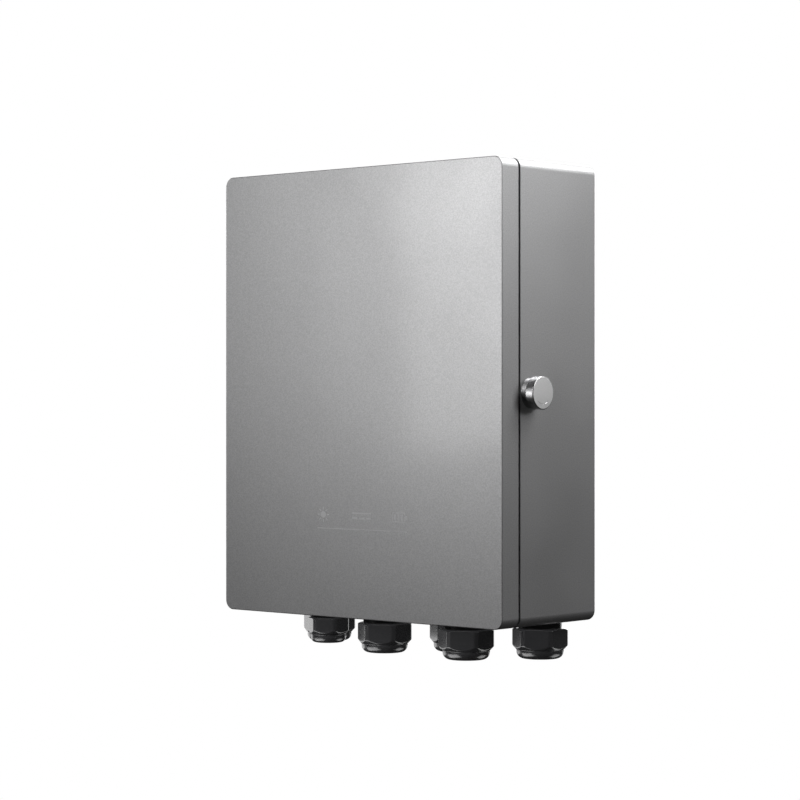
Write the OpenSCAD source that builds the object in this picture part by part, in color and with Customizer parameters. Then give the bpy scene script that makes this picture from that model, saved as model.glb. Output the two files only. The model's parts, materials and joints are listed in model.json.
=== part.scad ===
// Wall-hung DC combiner box with a side-hinged door.
// Origin at the centre of the rear face, X to the right, Y towards the wall, Z up.

/* [Enclosure] */
// Width of the box
box_w = 371; // [365:1:400]
// Height of the box
box_h = 450; // [440:1:500]
// Depth of the box, wall to door face
box_d = 147; // [145:1:160]
// Radius of the four corners seen from the front
corner_r = 10; // [6:1:14]
// Sheet thickness of the body
body_t = 2; // [1.5:0.1:2.5]
// Width of the return flange round the front opening
flange_w = 17.5; // [16:0.5:19]
// How far the rain lip stands in front of the body
lip_h = 17.7; // [12:0.1:18]

/* [Door] */
// Depth of the door's rim
door_d = 25; // [22:0.5:28]
// Gap between the door's rim and the body
seam = 2.7; // [2:0.1:3.5]
// Sheet thickness of the door
door_t = 1.5; // [1.2:0.1:2]
// Width of the gasket
gasket_w = 14; // [10:1:16]

/* [Wall fixing] */
// Distance between the fixing holes, left to right
fixing_dx = 330; // [320:5:340]
// Distance between the fixing holes, bottom to top
fixing_dz = 400; // [390:5:410]
// Diameter of the fixing holes
fixing_d = 9; // [7:0.5:11]

/* [Latch] */
// Distance of the latch axis behind the door face
latch_back = 43.4; // [42:0.1:46]
// Diameter of the knob
knob_d = 32; // [28:1:34]
// Thickness of the knob
knob_t = 9; // [7:0.5:12]
// Diameter of the neck against the side wall
neck_d = 29.7; // [26:0.1:30]
// Length of the neck
neck_l = 6; // [4:0.5:8]

/* [Cable glands] */
// Distance of the front gland row from the wall
row_front = 87; // [85:0.5:88]
// Distance of the rear gland row from the wall
row_rear = 30.5; // [30:0.5:33]

/* [Hinges] */
// Height of each hinge above and below the middle
hinge_z = 150; // [120:5:170]
// Length of each hinge
hinge_l = 60; // [50:2:70]
// Radius of the hinge knuckles
knuckle_r = 4; // [3.6:0.1:4.2]
// Radius of the hinge pins
pin_r = 2; // [1.6:0.1:2.2]

/* [Electrical] */
// Number of fused strings
strings = 6; // [6]
// Width of one module on the rail
module_w = 18; // [18]
// Height of the upper rail
upper_z = 115; // [112:1:118]
// Height of the lower rail
lower_z = -45; // [-48:1:-45]
// Height of the wiring duct's middle
duct_z = 35; // [33:1:37]
// Height of the earth bar
earth_z = -150; // [-155:1:-145]
// Radius of the wires
wire_r = 2.4; // [1.5:0.1:2.4]

/* [Hidden] */
$fn = 48;
fit = 0.05;
gap = 0.3;
door_front = -box_d;
door_rear = door_front + door_d;
door_inner = door_front + door_t;
body_front = door_rear + seam;
lip_front = body_front - lip_h;
lip_t = 1.5;
open_w = box_w - 2 * flange_w;
open_h = box_h - 2 * flange_w;
open_r = 6;
side_x = box_w / 2;
floor_z = -box_h / 2;

plate_w = 300;
plate_z = [-185, 195];
plate_t = 2;
plate_front = -16;
plate_stud = [[-140, -175], [140, -175], [-140, 185], [140, 185]];

latch_y = door_front + latch_back;
knob_x = side_x + neck_l + gap;
cam_x = [160, 163];
cam_l = 30;
cam_w = 10;
keeper_x = [155, 157.5];
keeper_z = [14, 30];
keeper_gap = 0.5;

axis_x = -side_x - 4.5;
axis_y = (door_rear + body_front) / 2;
leaf_t = 2;
screw_y = 16;

// Gland: X, Y, size. Size 1 is the large gland, size 0 the small one.
glands = [
    [-95, -row_front, 0],
    [-16.6, -row_front, 1],
    [91.4, -row_front, 1],
    [-145.9, -row_rear, 1],
    [31.5, -row_rear, 1],
    [139.7, -row_rear, 1],
];
// Per size: thread, collar, nut across flats, dome and cable radius, then the drops
// of the collar's, the nut's and the dome's lower ends below the box.
thread_r = [16, 20];
collar_r = [17, 21.75];
nut_flats = [38.6, 50];
dome_r = [18.4, 23.4];
cable_r = [10, 14];
collar_drop = [6.6, 7.8];
nut_drop = [24.6, 29.1];
dome_drop = [33, 38.1];

rail_l = 290;
rail_w = 35;
rail_front = plate_front - 7.5;
device_back = -20;
case_gap = 0.4;
fuse_x = -130;
fuse_front = -78;
pivot_y = -74;
pivot_z = upper_z - 17;
entry_y = -50.5;
isolator_x = 27;
isolator_poles = 4;
isolator_front = -84;
drum_y = -80;
drum_r = 8;
spd_x = -93;
spd_modules = 3;
spd_front = -62;
duct_l = 250;
duct_w = 30;
duct_front = -56;
slot_pitch = 12;
slot_w = 7;
bar_y = [-52, -49];
negative_bar_x = [20, 130];
earth_bar_x = [-100, 0];

metal = [0.56, 0.56, 0.57];
steel = [0.75, 0.76, 0.78];
black_plastic = [0.06, 0.06, 0.065];
grey_plastic = [0.78, 0.79, 0.8];
copper = [0.78, 0.45, 0.28];
brass = [0.8, 0.66, 0.35];

// ---- shared shapes ----

module box(x, y, z) {
    translate([x[0], y[0], z[0]])
        cube([x[1] - x[0], y[1] - y[0], z[1] - z[0]]);
}

// A flat outline drawn in X and Z, pushed along Y
module along_y(y0, y1) {
    rotate([90, 0, 0])
        translate([0, 0, -y1])
            linear_extrude(y1 - y0) children();
}

// A flat outline drawn in Y and Z, pushed along X
module along_x(x0, x1) {
    translate([x0, 0, 0])
        rotate([90, 0, 90])
            linear_extrude(x1 - x0) children();
}

module rod_x(x, y, z, r) {
    translate([x[0], y, z])
        rotate([0, 90, 0])
            cylinder(h = x[1] - x[0], r = r);
}

module rod_y(x, y, z, r) {
    translate([x, y[1], z])
        rotate([90, 0, 0])
            cylinder(h = y[1] - y[0], r = r);
}

module rod_z(x, y, z, r) {
    translate([x, y, z[0]])
        cylinder(h = z[1] - z[0], r = r);
}

module rounded_rect(w, h, r) {
    square([w - 2 * r, h], center = true);
    square([w, h - 2 * r], center = true);
    for (sx = [-1, 1])
        for (sz = [-1, 1])
            translate([sx * (w / 2 - r), sz * (h / 2 - r)])
                circle(r);
}

module rounded_ring(w, h, r, t, y) {
    difference() {
        along_y(y[0], y[1]) rounded_rect(w, h, r);
        along_y(y[0] - 1, y[1] + 1)
            rounded_rect(w - 2 * t, h - 2 * t, max(r - t, 0.5));
    }
}

// Pan-head screw along Y, head in front
module screw_y(x, z, under_head, head_r, head_h, shank_r, shank_l) {
    rod_y(x, [under_head - head_h, under_head], z, head_r);
    rod_y(x, [under_head - 0.01, under_head + shank_l], z, shank_r);
}

// ---- enclosure body ----

module body_shell() {
    color(metal)
        difference() {
            union() {
                difference() {
                    along_y(body_front, 0) rounded_rect(box_w, box_h, corner_r);
                    along_y(body_front - 1, -body_t)
                        rounded_rect(box_w - 2 * body_t, box_h - 2 * body_t, corner_r - body_t);
                }
                rounded_ring(box_w - body_t, box_h - body_t, corner_r - body_t / 2,
                    flange_w - body_t / 2, [body_front, body_front + body_t]);
                rounded_ring(open_w + 2 * lip_t, open_h + 2 * lip_t, open_r + lip_t,
                    lip_t, [lip_front, body_front + body_t]);
            }
            for (sx = [-1, 1])
                for (sz = [-1, 1])
                    rod_y(sx * fixing_dx / 2, [-body_t - 1, 1], sz * fixing_dz / 2, fixing_d / 2);
            for (g = glands)
                rod_z(g[0], g[1], [floor_z - 1, floor_z + body_t + 1], thread_r[g[2]] + 0.25);
            rod_x([side_x - body_t - 1, side_x + 1], latch_y, 0, 9.2);
            for (z = hinge_screw_z())
                rod_x([-side_x - 1, -side_x + body_t + 1], axis_y + screw_y, z, 2.2);
        }
}

module mounting_plate() {
    color(steel)
        difference() {
            box([-plate_w / 2, plate_w / 2], [plate_front, plate_front + plate_t], plate_z);
            for (p = plate_stud)
                rod_y(p[0], [plate_front - 1, plate_front + plate_t + 1], p[1], 3.3);
            for (p = rail_screw_places())
                rod_y(p[0], [plate_front - 1, plate_front + plate_t + 1], p[1], 2.7);
        }
}

module plate_studs() {
    color(steel)
        for (p = plate_stud) {
            rod_y(p[0], [plate_front + plate_t, -body_t], p[1], 6);
            rod_y(p[0], [plate_front - 10, -body_t], p[1], 3);
        }
}

module plate_nuts() {
    color(steel)
        for (p = plate_stud)
            difference() {
                translate([p[0], plate_front, p[1]])
                    rotate([90, 0, 0])
                        cylinder(h = 5, r = 5.77, $fn = 6);
                rod_y(p[0], [plate_front - 6, plate_front + 1], p[1], 3 + fit);
            }
}

// ---- hinges ----

function hinge_screw_z() = [for (s = [-1, 1]) for (d = [-1, 1]) s * hinge_z + d * hinge_l * 0.3];

// One hinge leaf: a plate on the side wall and the knuckles between the given heights
module hinge_leaf(side, knuckles) {
    plate_y = side > 0 ? [axis_y + 4.65, axis_y + 28] : [axis_y - 22.5, axis_y - 4.65];
    tab_y = side > 0 ? [axis_y + 2, axis_y + 4.7] : [axis_y - 4.7, axis_y - 2];
    leaf_x = [-side_x - leaf_t, -side_x];
    difference() {
        union() {
            box(leaf_x, plate_y, [-hinge_l / 2, hinge_l / 2]);
            for (k = knuckles) {
                rod_z(axis_x, axis_y, k, knuckle_r);
                box(leaf_x, tab_y, k);
            }
        }
        rod_z(axis_x, axis_y, [-hinge_l, hinge_l], pin_r + fit);
        for (d = [-1, 1])
            rod_x([-side_x - leaf_t - 1, -side_x + 1], axis_y + side * screw_y,
                d * hinge_l * 0.3, 2.2);
    }
}

module hinge_body_leaves() {
    third = hinge_l / 6;
    color(steel)
        for (s = [-1, 1])
            translate([0, 0, s * hinge_z])
                hinge_leaf(1, [[-hinge_l / 2, -third - 0.2], [third + 0.2, hinge_l / 2]]);
}

module hinge_door_leaves() {
    third = hinge_l / 6;
    color(steel)
        for (s = [-1, 1])
            translate([0, 0, s * hinge_z])
                hinge_leaf(-1, [[-third + 0.1, third - 0.1]]);
}

module hinge_pins() {
    color(steel)
        for (s = [-1, 1]) {
            rod_z(axis_x, axis_y, [s * hinge_z - hinge_l / 2 - 1.5, s * hinge_z + hinge_l / 2], pin_r);
            rod_z(axis_x, axis_y, [s * hinge_z + hinge_l / 2, s * hinge_z + hinge_l / 2 + 2], 3.2);
        }
}

module hinge_screws(side) {
    head_x = -side_x - leaf_t;
    color(steel)
        for (z = hinge_screw_z()) {
            rod_x([head_x - 1.6, head_x], axis_y + side * screw_y, z, 3.8);
            rod_x([head_x - 0.01, -side_x + 3.5], axis_y + side * screw_y, z, 2);
        }
}

module hinge_body_screws() { hinge_screws(1); }

module hinge_door_screws() { hinge_screws(-1); }

// ---- latch ----

module latch_housing() {
    color(steel)
        difference() {
            union() {
                rod_x([side_x, side_x + neck_l], latch_y, 0, neck_d / 2);
                rod_x([172, side_x + 0.5], latch_y, 0, 9);
            }
            rod_x([170, side_x + neck_l + 1], latch_y, 0, 5 + fit);
            difference() {
                rod_x([side_x - 1, side_x + 1], latch_y, 0, 12.5);
                rod_x([side_x - 2, side_x + 2], latch_y, 0, 10.5);
            }
        }
}

module latch_seal() {
    color(black_plastic)
        difference() {
            rod_x([side_x, side_x + 0.9], latch_y, 0, 12.4);
            rod_x([side_x - 1, side_x + 2], latch_y, 0, 10.6);
        }
}

module latch_locknut() {
    nut_x = side_x - body_t;
    color(steel)
        difference() {
            translate([nut_x - 5, latch_y, 0])
                rotate([0, 90, 0])
                    cylinder(h = 5, r = 24 / sqrt(3), $fn = 6);
            rod_x([nut_x - 6, nut_x + 1], latch_y, 0, 9 + fit);
        }
}

module latch_knob() {
    r = knob_d / 2;
    color(steel)
        difference() {
            union() {
                translate([knob_x, latch_y, 0])
                    rotate([0, 90, 0])
                        rotate_extrude()
                            polygon([[0, 0], [r - 0.8, 0], [r, 0.8], [r, knob_t - 0.8],
                                [r - 0.8, knob_t], [0, knob_t]]);
                rod_x([cam_x[1], knob_x + 1], latch_y, 0, 5);
                box([cam_x[0], cam_x[1] + 1], [latch_y - 3, latch_y + 3], [-3, 3]);
            }
            rod_x([cam_x[0] - 1, cam_x[1] + 8], latch_y, 0, 1.5 + fit);
        }
}

// The arm points towards the door when the latch is open
module latch_cam() {
    tip = latch_y - cam_l + cam_w / 2;
    color(steel)
        difference() {
            union() {
                rod_x(cam_x, latch_y, 0, 8.5);
                box(cam_x, [tip, latch_y], [-cam_w / 2, cam_w / 2]);
                rod_x(cam_x, tip, 0, cam_w / 2);
            }
            box([cam_x[0] - 1, cam_x[1] + 1],
                [latch_y - 3 - fit, latch_y + 3 + fit], [-3 - fit, 3 + fit]);
        }
}

module latch_cam_screw() {
    color(steel) {
        rod_x([cam_x[0] - 2.4, cam_x[0]], latch_y, 0, 3.5);
        rod_x([cam_x[0] - 0.01, cam_x[0] + 8], latch_y, 0, 1.5);
    }
}

// ---- cable glands ----

module gland_bodies() {
    color(black_plastic)
        for (g = glands)
            translate([g[0], g[1], floor_z])
                difference() {
                    union() {
                        rod_z(0, 0, [-1, 14], thread_r[g[2]]);
                        rod_z(0, 0, [-collar_drop[g[2]], -1], collar_r[g[2]]);
                        rod_z(0, 0, [-collar_drop[g[2]] - 12, -1], thread_r[g[2]] - 0.5);
                    }
                    rod_z(0, 0, [-60, 30], cable_r[g[2]] + 1.5);
                }
}

module gland_washers() {
    color([0.1, 0.1, 0.1])
        for (g = glands)
            translate([g[0], g[1], floor_z])
                difference() {
                    rod_z(0, 0, [-1, 0], collar_r[g[2]] - 0.3);
                    rod_z(0, 0, [-2, 1], thread_r[g[2]] + fit);
                }
}

module gland_inserts() {
    color([0.08, 0.08, 0.08])
        for (g = glands)
            translate([g[0], g[1], floor_z])
                difference() {
                    rod_z(0, 0, [-dome_drop[g[2]] + 3.3, -collar_drop[g[2]] - 12.3],
                        cable_r[g[2]] + 3.5);
                    rod_z(0, 0, [-60, 30], cable_r[g[2]]);
                }
}

// Hexagonal nut with chamfered corners above a rounded dome, one piece
module gland_nut(size) {
    top = -collar_drop[size];
    mid = -nut_drop[size];
    end = -dome_drop[size];
    corner = nut_flats[size] / 2 * 1.11;
    dome = dome_r[size];
    edge = 0.3 * dome;
    difference() {
        union() {
            intersection() {
                translate([0, 0, mid])
                    rotate([0, 0, 30])
                        cylinder(h = top - mid, r = nut_flats[size] / sqrt(3), $fn = 6);
                rotate_extrude()
                    polygon([[0, top], [corner - 2.2, top], [corner, top - 1.6],
                        [corner, mid + 4.2], [corner - 4, mid], [0, mid]]);
            }
            rotate_extrude()
                union() {
                    translate([0, end]) square([dome - edge, edge + 0.1]);
                    translate([0, end + edge]) square([dome, mid - end - edge + 0.5]);
                    translate([dome - edge, end + edge]) circle(edge);
                }
        }
        rod_z(0, 0, [mid + 0.5, top + 1], thread_r[size] - 0.2);
        rod_z(0, 0, [end + 3, mid + 1], cable_r[size] + 3.8);
        rod_z(0, 0, [end - 1, mid], cable_r[size] + 1.2);
    }
}

module gland_nuts() {
    color(black_plastic)
        for (g = glands)
            translate([g[0], g[1], floor_z])
                gland_nut(g[2]);
}

module gland_locknuts() {
    color(black_plastic)
        for (g = glands)
            translate([g[0], g[1], floor_z + body_t])
                difference() {
                    rotate([0, 0, 30])
                        cylinder(h = 7, r = nut_flats[g[2]] / sqrt(3), $fn = 6);
                    rod_z(0, 0, [-1, 8], thread_r[g[2]] + fit);
                }
}

// ---- rails and what stands on them ----

function rail_screw_places() = [for (z = [upper_z, lower_z]) for (x = [-138, 138]) [x, z]];

module din_rails() {
    color(steel)
        for (z = [upper_z, lower_z])
            translate([0, 0, z])
                difference() {
                    along_x(-rail_l / 2, rail_l / 2) {
                        translate([plate_front - 1, -13.5]) square([1, 27]);
                        for (s = [0, 1])
                            mirror([0, s]) {
                                translate([rail_front, 12.5]) square([7.5, 1]);
                                translate([rail_front, 12.5]) square([1, 5]);
                            }
                    }
                    for (x = [-138, 138])
                        rod_y(x, [plate_front - 2, plate_front + 1], 0, 2.7);
                }
}

module rail_screws() {
    color(steel)
        for (p = rail_screw_places())
            screw_y(p[0], p[1], plate_front - 1, 4.5, 3, 2.5, 6);
}

// Room for the rail at the back of a device
module rail_slot(x) {
    box([x[0] - 1, x[1] + 1], [rail_front - gap, device_back + 1],
        [-rail_w / 2 - gap, rail_w / 2 + gap]);
}

module end_clamp(x) {
    difference() {
        box([x, x + 8], [-52, device_back], [-24, 24]);
        rail_slot([x, x + 8]);
        box([x - 1, x + 9], [-53, -40], [12, 25]);
        box([x - 1, x + 9], [-53, -40], [-25, -12]);
    }
}

module end_clamps() {
    color([0.3, 0.31, 0.33]) {
        for (x = [fuse_x - 8.6, fuse_x + strings * module_w + 0.2])
            translate([0, 0, upper_z]) end_clamp(x);
        for (x = [isolator_x - 8.6, isolator_x + isolator_poles * module_w + 0.2,
                spd_x - 8.6, spd_x + spd_modules * module_w + 0.2])
            translate([0, 0, lower_z]) end_clamp(x);
    }
}

// Terminal at the top or bottom of a device: wire entry and screw recess
module terminal_cut(x, end_z, step_y) {
    s = sign(end_z);
    rod_z(x, entry_y, s > 0 ? [end_z - 12, end_z + 1] : [end_z - 1, end_z + 12], 3.4);
    rod_y(x, [step_y - 1, step_y + 10], end_z - s * 6.5, 3.2);
}

module fuse_base() {
    x = [case_gap / 2, module_w - case_gap / 2];
    mid = module_w / 2;
    difference() {
        box(x, [fuse_front, device_back], [-40.5, 40.5]);
        rail_slot(x);
        box([-1, module_w + 1], [fuse_front - 1, -66], [30, 42]);
        box([-1, module_w + 1], [fuse_front - 1, -66], [-42, -27]);
        box([x[0] + 1.6, x[1] - 1.6], [fuse_front - 1, -40], [-22, 26]);
        rod_x([x[0] + 0.6, x[1] - 0.6], pivot_y, pivot_z - upper_z, 1.5 + fit);
        terminal_cut(mid, 40.5, -66);
        terminal_cut(mid, -40.5, -66);
    }
}

module fuse_bases() {
    color(grey_plastic)
        for (i = [0:strings - 1])
            translate([fuse_x + i * module_w, 0, upper_z])
                fuse_base();
}

// Swings out at the top about the trunnions near its lower front corner
module fuse_carrier(i) {
    x = fuse_x + (i - 1) * module_w + module_w / 2;
    half = 6.8;
    color([0.2, 0.21, 0.23])
        difference() {
            union() {
                along_x(x - half, x + half)
                    intersection() {
                        union() {
                            translate([pivot_y, pivot_z]) circle(4.4);
                            translate([pivot_y - 4.4, pivot_z]) square([24.4, 42.2]);
                            translate([-86, upper_z + 8]) square([9, 11]);
                        }
                        translate([pivot_y, pivot_z]) circle(42.3);
                    }
                rod_x([x - 7.8, x + 7.8], pivot_y, pivot_z, 1.5);
            }
            box([x - 5.4, x + 5.4], [-65.5, -50], [upper_z - 22, upper_z + 19.5]);
        }
}

module fuse_link(i) {
    x = fuse_x + (i - 1) * module_w + module_w / 2;
    color([0.9, 0.89, 0.85]) {
        rod_z(x, -60, [upper_z - 19, upper_z + 19], 4.9);
        for (z = [-19, 9])
            rod_z(x, -60, [upper_z + z, upper_z + z + 10], 5.15);
    }
}

module isolator_base() {
    w = isolator_poles * module_w;
    x = [isolator_x + case_gap / 2, isolator_x + w - case_gap / 2];
    color(grey_plastic)
        translate([0, 0, lower_z])
            difference() {
                union() {
                    box(x, [-64, device_back], [-42.5, 42.5]);
                    box(x, [isolator_front, -63], [-22.5, 22.5]);
                }
                rail_slot(x);
                rod_x([x[0] + 3, x[1] - 3], drum_y, 0, drum_r + fit);
                for (i = [0:isolator_poles - 1])
                    for (s = [-1, 1])
                        terminal_cut(isolator_x + (i + 0.5) * module_w, s * 42.5, -64);
            }
}

// Linked handle: a drum across all poles, one lever a pole and a tie bar. Stored off.
module isolator_handle() {
    w = isolator_poles * module_w;
    x = [isolator_x + 3.5, isolator_x + w - 3.5];
    off_angle = 30;
    color([0.05, 0.05, 0.05])
        translate([0, drum_y, lower_z])
            rotate([off_angle, 0, 0]) {
                rod_x(x, 0, 0, drum_r);
                for (i = [0:isolator_poles - 1])
                    box([isolator_x + (i + 0.5) * module_w - 5,
                        isolator_x + (i + 0.5) * module_w + 5], [-20, 0], [-2.5, 2.5]);
                box([x[0] + 4, x[1] - 4], [-20, -15], [-3, 3]);
            }
}

module spd_base() {
    w = spd_modules * module_w;
    x = [spd_x + case_gap / 2, spd_x + w - case_gap / 2];
    color(grey_plastic)
        translate([0, 0, lower_z])
            difference() {
                box(x, [spd_front, device_back], [-45, 45]);
                rail_slot(x);
                box([x[0] + 1.4, x[1] - 1.4], [spd_front - 1, -36], [-23, 23]);
                for (i = [0:spd_modules - 1]) {
                    mid = spd_x + (i + 0.5) * module_w;
                    for (z = [-15, 9])
                        box([mid - 1.5, mid + 1.5], [-37, -27], [z - 0.5, z + 6.5]);
                    terminal_cut(mid, 45, spd_front);
                    terminal_cut(mid, -45, spd_front);
                }
            }
}

module spd_cartridge(i) {
    mid = spd_x + (i - 0.5) * module_w;
    half = module_w / 2 - 0.6 - (i == 1 || i == spd_modules ? 0.8 : 0);
    shift = i == 1 ? 0.8 : i == spd_modules ? -0.8 : 0;
    color([0.35, 0.36, 0.38])
        translate([0, 0, lower_z])
            difference() {
                union() {
                    box([mid + shift - half, mid + shift + half], [-72, -36.4], [-22.6, 22.6]);
                    box([mid + shift - half, mid + shift + half], [-80, -71], [-14, 14]);
                    for (z = [-15, 9])
                        box([mid - 1, mid + 1], [-37, -29], [z, z + 6]);
                }
                box([mid + shift - 3.5, mid + shift + 3.5], [-81, -79.2], [3, 9]);
            }
}

module terminal_screws() {
    color(brass) {
        for (i = [0:strings - 1])
            for (s = [-1, 1])
                rod_y(fuse_x + (i + 0.5) * module_w, [-61, -57], upper_z + s * 34, 2.9);
        for (i = [0:isolator_poles - 1])
            for (s = [-1, 1])
                rod_y(isolator_x + (i + 0.5) * module_w, [-59, -55], lower_z + s * 36, 2.9);
        for (i = [0:spd_modules - 1])
            for (s = [-1, 1])
                rod_y(spd_x + (i + 0.5) * module_w, [-57, -53.5], lower_z + s * 38.5, 2.9);
    }
}

// ---- bars ----

module busbar_positive() {
    color(copper) {
        box([fuse_x + 1, fuse_x + strings * module_w + 6], bar_y, [upper_z + 42, upper_z + 56]);
        for (i = [0:strings - 1]) {
            x = fuse_x + (i + 0.5) * module_w;
            box([x - 2, x + 2], [entry_y - 1, entry_y + 1], [upper_z + 30, upper_z + 42.5]);
        }
    }
}

function bar_screw_x(bar) = [for (x = [bar[0] + 12:(bar[1] - bar[0] - 24) / 7:bar[1] - 11]) x];

module flat_bar(bar, z) {
    difference() {
        box(bar, bar_y, [z - 8, z + 8]);
        for (x = bar_screw_x(bar))
            rod_y(x, [bar_y[0] - 1, bar_y[1] + 1], z, 2.6);
    }
}

module busbar_negative() { color(copper) flat_bar(negative_bar_x, upper_z); }

module earth_bar() { color(brass) flat_bar(earth_bar_x, earth_z); }

function standoff_places() = [
    for (b = [[negative_bar_x, upper_z], [earth_bar_x, earth_z]])
        for (x = [b[0][0] + 12, b[0][1] - 12]) [x, b[1]]
];

module bar_standoff(base) {
    length = base - bar_y[1];
    ribs = 4;
    step = length / (2 * ribs + 1);
    difference() {
        union() {
            cylinder(h = length, r = 6.5);
            for (i = [0:ribs])
                translate([0, 0, 2 * i * step])
                    cylinder(h = step, r = 8);
        }
        translate([0, 0, length - 10])
            cylinder(h = 11, r = 2.6);
    }
}

// Those of the negative bar stand on the upper rail, the others on the plate
module bar_standoffs() {
    color([0.55, 0.12, 0.1])
        for (p = standoff_places()) {
            base = p[1] == upper_z ? plate_front - 1 : plate_front;
            translate([p[0], base, p[1]])
                rotate([90, 0, 0])
                    bar_standoff(base);
        }
}

module bar_screws() {
    color(steel)
        for (b = [[negative_bar_x, upper_z], [earth_bar_x, earth_z]])
            for (x = bar_screw_x(b[0]))
                screw_y(x, b[1], bar_y[0], 4.2, 3, 2.5, 9);
}

// ---- wiring ----

module wiring_duct() {
    half = duct_w / 2;
    color([0.62, 0.63, 0.65])
        translate([0, 0, duct_z])
            difference() {
                box([-duct_l / 2, duct_l / 2], [duct_front, plate_front], [-half, half]);
                box([-duct_l / 2 - 1, duct_l / 2 + 1], [duct_front - 1, plate_front - 1.5],
                    [-half + 1.5, half - 1.5]);
                for (i = [-10:10])
                    box([i * slot_pitch - slot_w / 2, i * slot_pitch + slot_w / 2],
                        [duct_front - 1, plate_front - 12], [-half - 1, half + 1]);
            }
}

module duct_cover() {
    half = duct_w / 2;
    color([0.68, 0.69, 0.71])
        translate([0, 0, duct_z])
            difference() {
                box([-duct_l / 2, duct_l / 2], [duct_front - 1.6, duct_front + 4],
                    [-half - 1.6, half + 1.6]);
                box([-duct_l / 2 - 1, duct_l / 2 + 1], [duct_front - 0.1, duct_front + 5],
                    [-half - 0.1, half + 0.1]);
                for (i = [-10:10])
                    box([i * slot_pitch - slot_w / 2, i * slot_pitch + slot_w / 2],
                        [duct_front - 0.1, duct_front + 5], [-half - 2, half + 2]);
            }
}

// A wire along straight runs, its bends filled by spheres
module wire(points) {
    for (i = [0:len(points) - 2]) {
        run = points[i + 1] - points[i];
        translate(points[i])
            rotate([0, acos(run[2] / norm(run)), atan2(run[1], run[0])])
                cylinder(h = norm(run), r = wire_r);
    }
    if (len(points) > 2)
        for (i = [1:len(points) - 2])
            translate(points[i]) sphere(wire_r);
}

module positive_wires() {
    bar_end = fuse_x + strings * module_w + 6;
    bar_mid = upper_z + 49;
    pole = isolator_x + module_w / 2;
    clamp = spd_x + module_w / 2;
    color([0.7, 0.05, 0.04]) {
        wire([[bar_end, entry_y, bar_mid], [0, entry_y, bar_mid], [0, entry_y, duct_z],
            [pole, entry_y, duct_z], [pole, entry_y, lower_z + 34]]);
        wire([[fuse_x + 1, entry_y, bar_mid], [-143, entry_y, bar_mid], [-143, entry_y, duct_z],
            [clamp, entry_y, duct_z], [clamp, entry_y, lower_z + 36]]);
    }
}

module negative_wires() {
    pole = isolator_x + 2.5 * module_w;
    clamp = spd_x + 2.5 * module_w;
    color([0.05, 0.05, 0.05]) {
        wire([[pole, entry_y, upper_z - 8], [pole, entry_y, lower_z + 34]]);
        wire([[negative_bar_x[0], entry_y, upper_z], [12, entry_y, upper_z], [12, entry_y, 62],
            [12, -38, 62], [12, -38, duct_z + 6], [clamp, -38, duct_z + 6],
            [clamp, -38, 10], [clamp, entry_y, 10], [clamp, entry_y, lower_z + 36]]);
    }
}

module earth_wires() {
    clamp = spd_x + 1.5 * module_w;
    color([0.25, 0.55, 0.15]) {
        wire([[clamp, entry_y, lower_z - 36], [clamp, entry_y, earth_z + 8]]);
        wire([[earth_bar_x[1], entry_y, earth_z], [24, entry_y, earth_z], [24, plate_front, earth_z]]);
    }
}

// ---- door ----

module door_shell() {
    color(metal)
        difference() {
            along_y(door_front, door_rear) rounded_rect(box_w, box_h, corner_r);
            along_y(door_inner, door_rear + 1)
                rounded_rect(box_w - 2 * door_t, box_h - 2 * door_t, corner_r - door_t);
            for (z = hinge_screw_z())
                rod_x([-side_x - 1, -side_x + door_t + 1], axis_y - screw_y, z, 2.2);
        }
}

module door_gasket() {
    mid = open_w + lip_t + gasket_w;
    mid_h = open_h + lip_t + gasket_w;
    color([0.07, 0.07, 0.07])
        rounded_ring(mid, mid_h, open_r + gasket_w / 2, gasket_w, [door_inner, lip_front - gap]);
}

module door_stiffeners() {
    color(steel)
        for (x = [-100, 100])
            difference() {
                box([x - 12, x + 12], [door_inner, door_inner + 12], [-180, 180]);
                box([x - 10.8, x + 10.8], [door_inner - 1, door_inner + 10.8], [-181, 181]);
            }
}

module keeper() {
    lip_y = latch_y + cam_w / 2 + keeper_gap;
    z = keeper_z + [-5, 3];
    color(steel)
        difference() {
            union() {
                box([keeper_x[0] - 17, keeper_x[1]], [door_inner, door_inner + 2.5], z);
                box(keeper_x, [door_inner, lip_y + 2.5], z);
                box([keeper_x[0], cam_x[1] + 1], [lip_y, lip_y + 2.5], keeper_z);
            }
            for (s = [z[0] + 6, z[1] - 6])
                rod_y(keeper_x[0] - 9, [door_inner - 1, door_inner + 4], s, 2.1);
        }
}

module keeper_screws() {
    z = keeper_z + [-5, 3];
    color(steel)
        for (s = [z[0] + 6, z[1] - 6]) {
            rod_y(keeper_x[0] - 9, [door_inner + 2.5, door_inner + 4.5], s, 3.6);
            rod_y(keeper_x[0] - 9, [door_inner, door_inner + 2.6], s, 2);
        }
}

module document_pocket() {
    color([0.5, 0.51, 0.53])
        difference() {
            box([-75, 75], [door_inner, door_inner + 18], [-140, -20]);
            box([-73, 73], [door_inner + 2, door_inner + 16], [-138, -19]);
            box([-40, 40], [door_inner + 10, door_inner + 19], [-50, -19]);
        }
}

// ---- drawing ----

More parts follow.
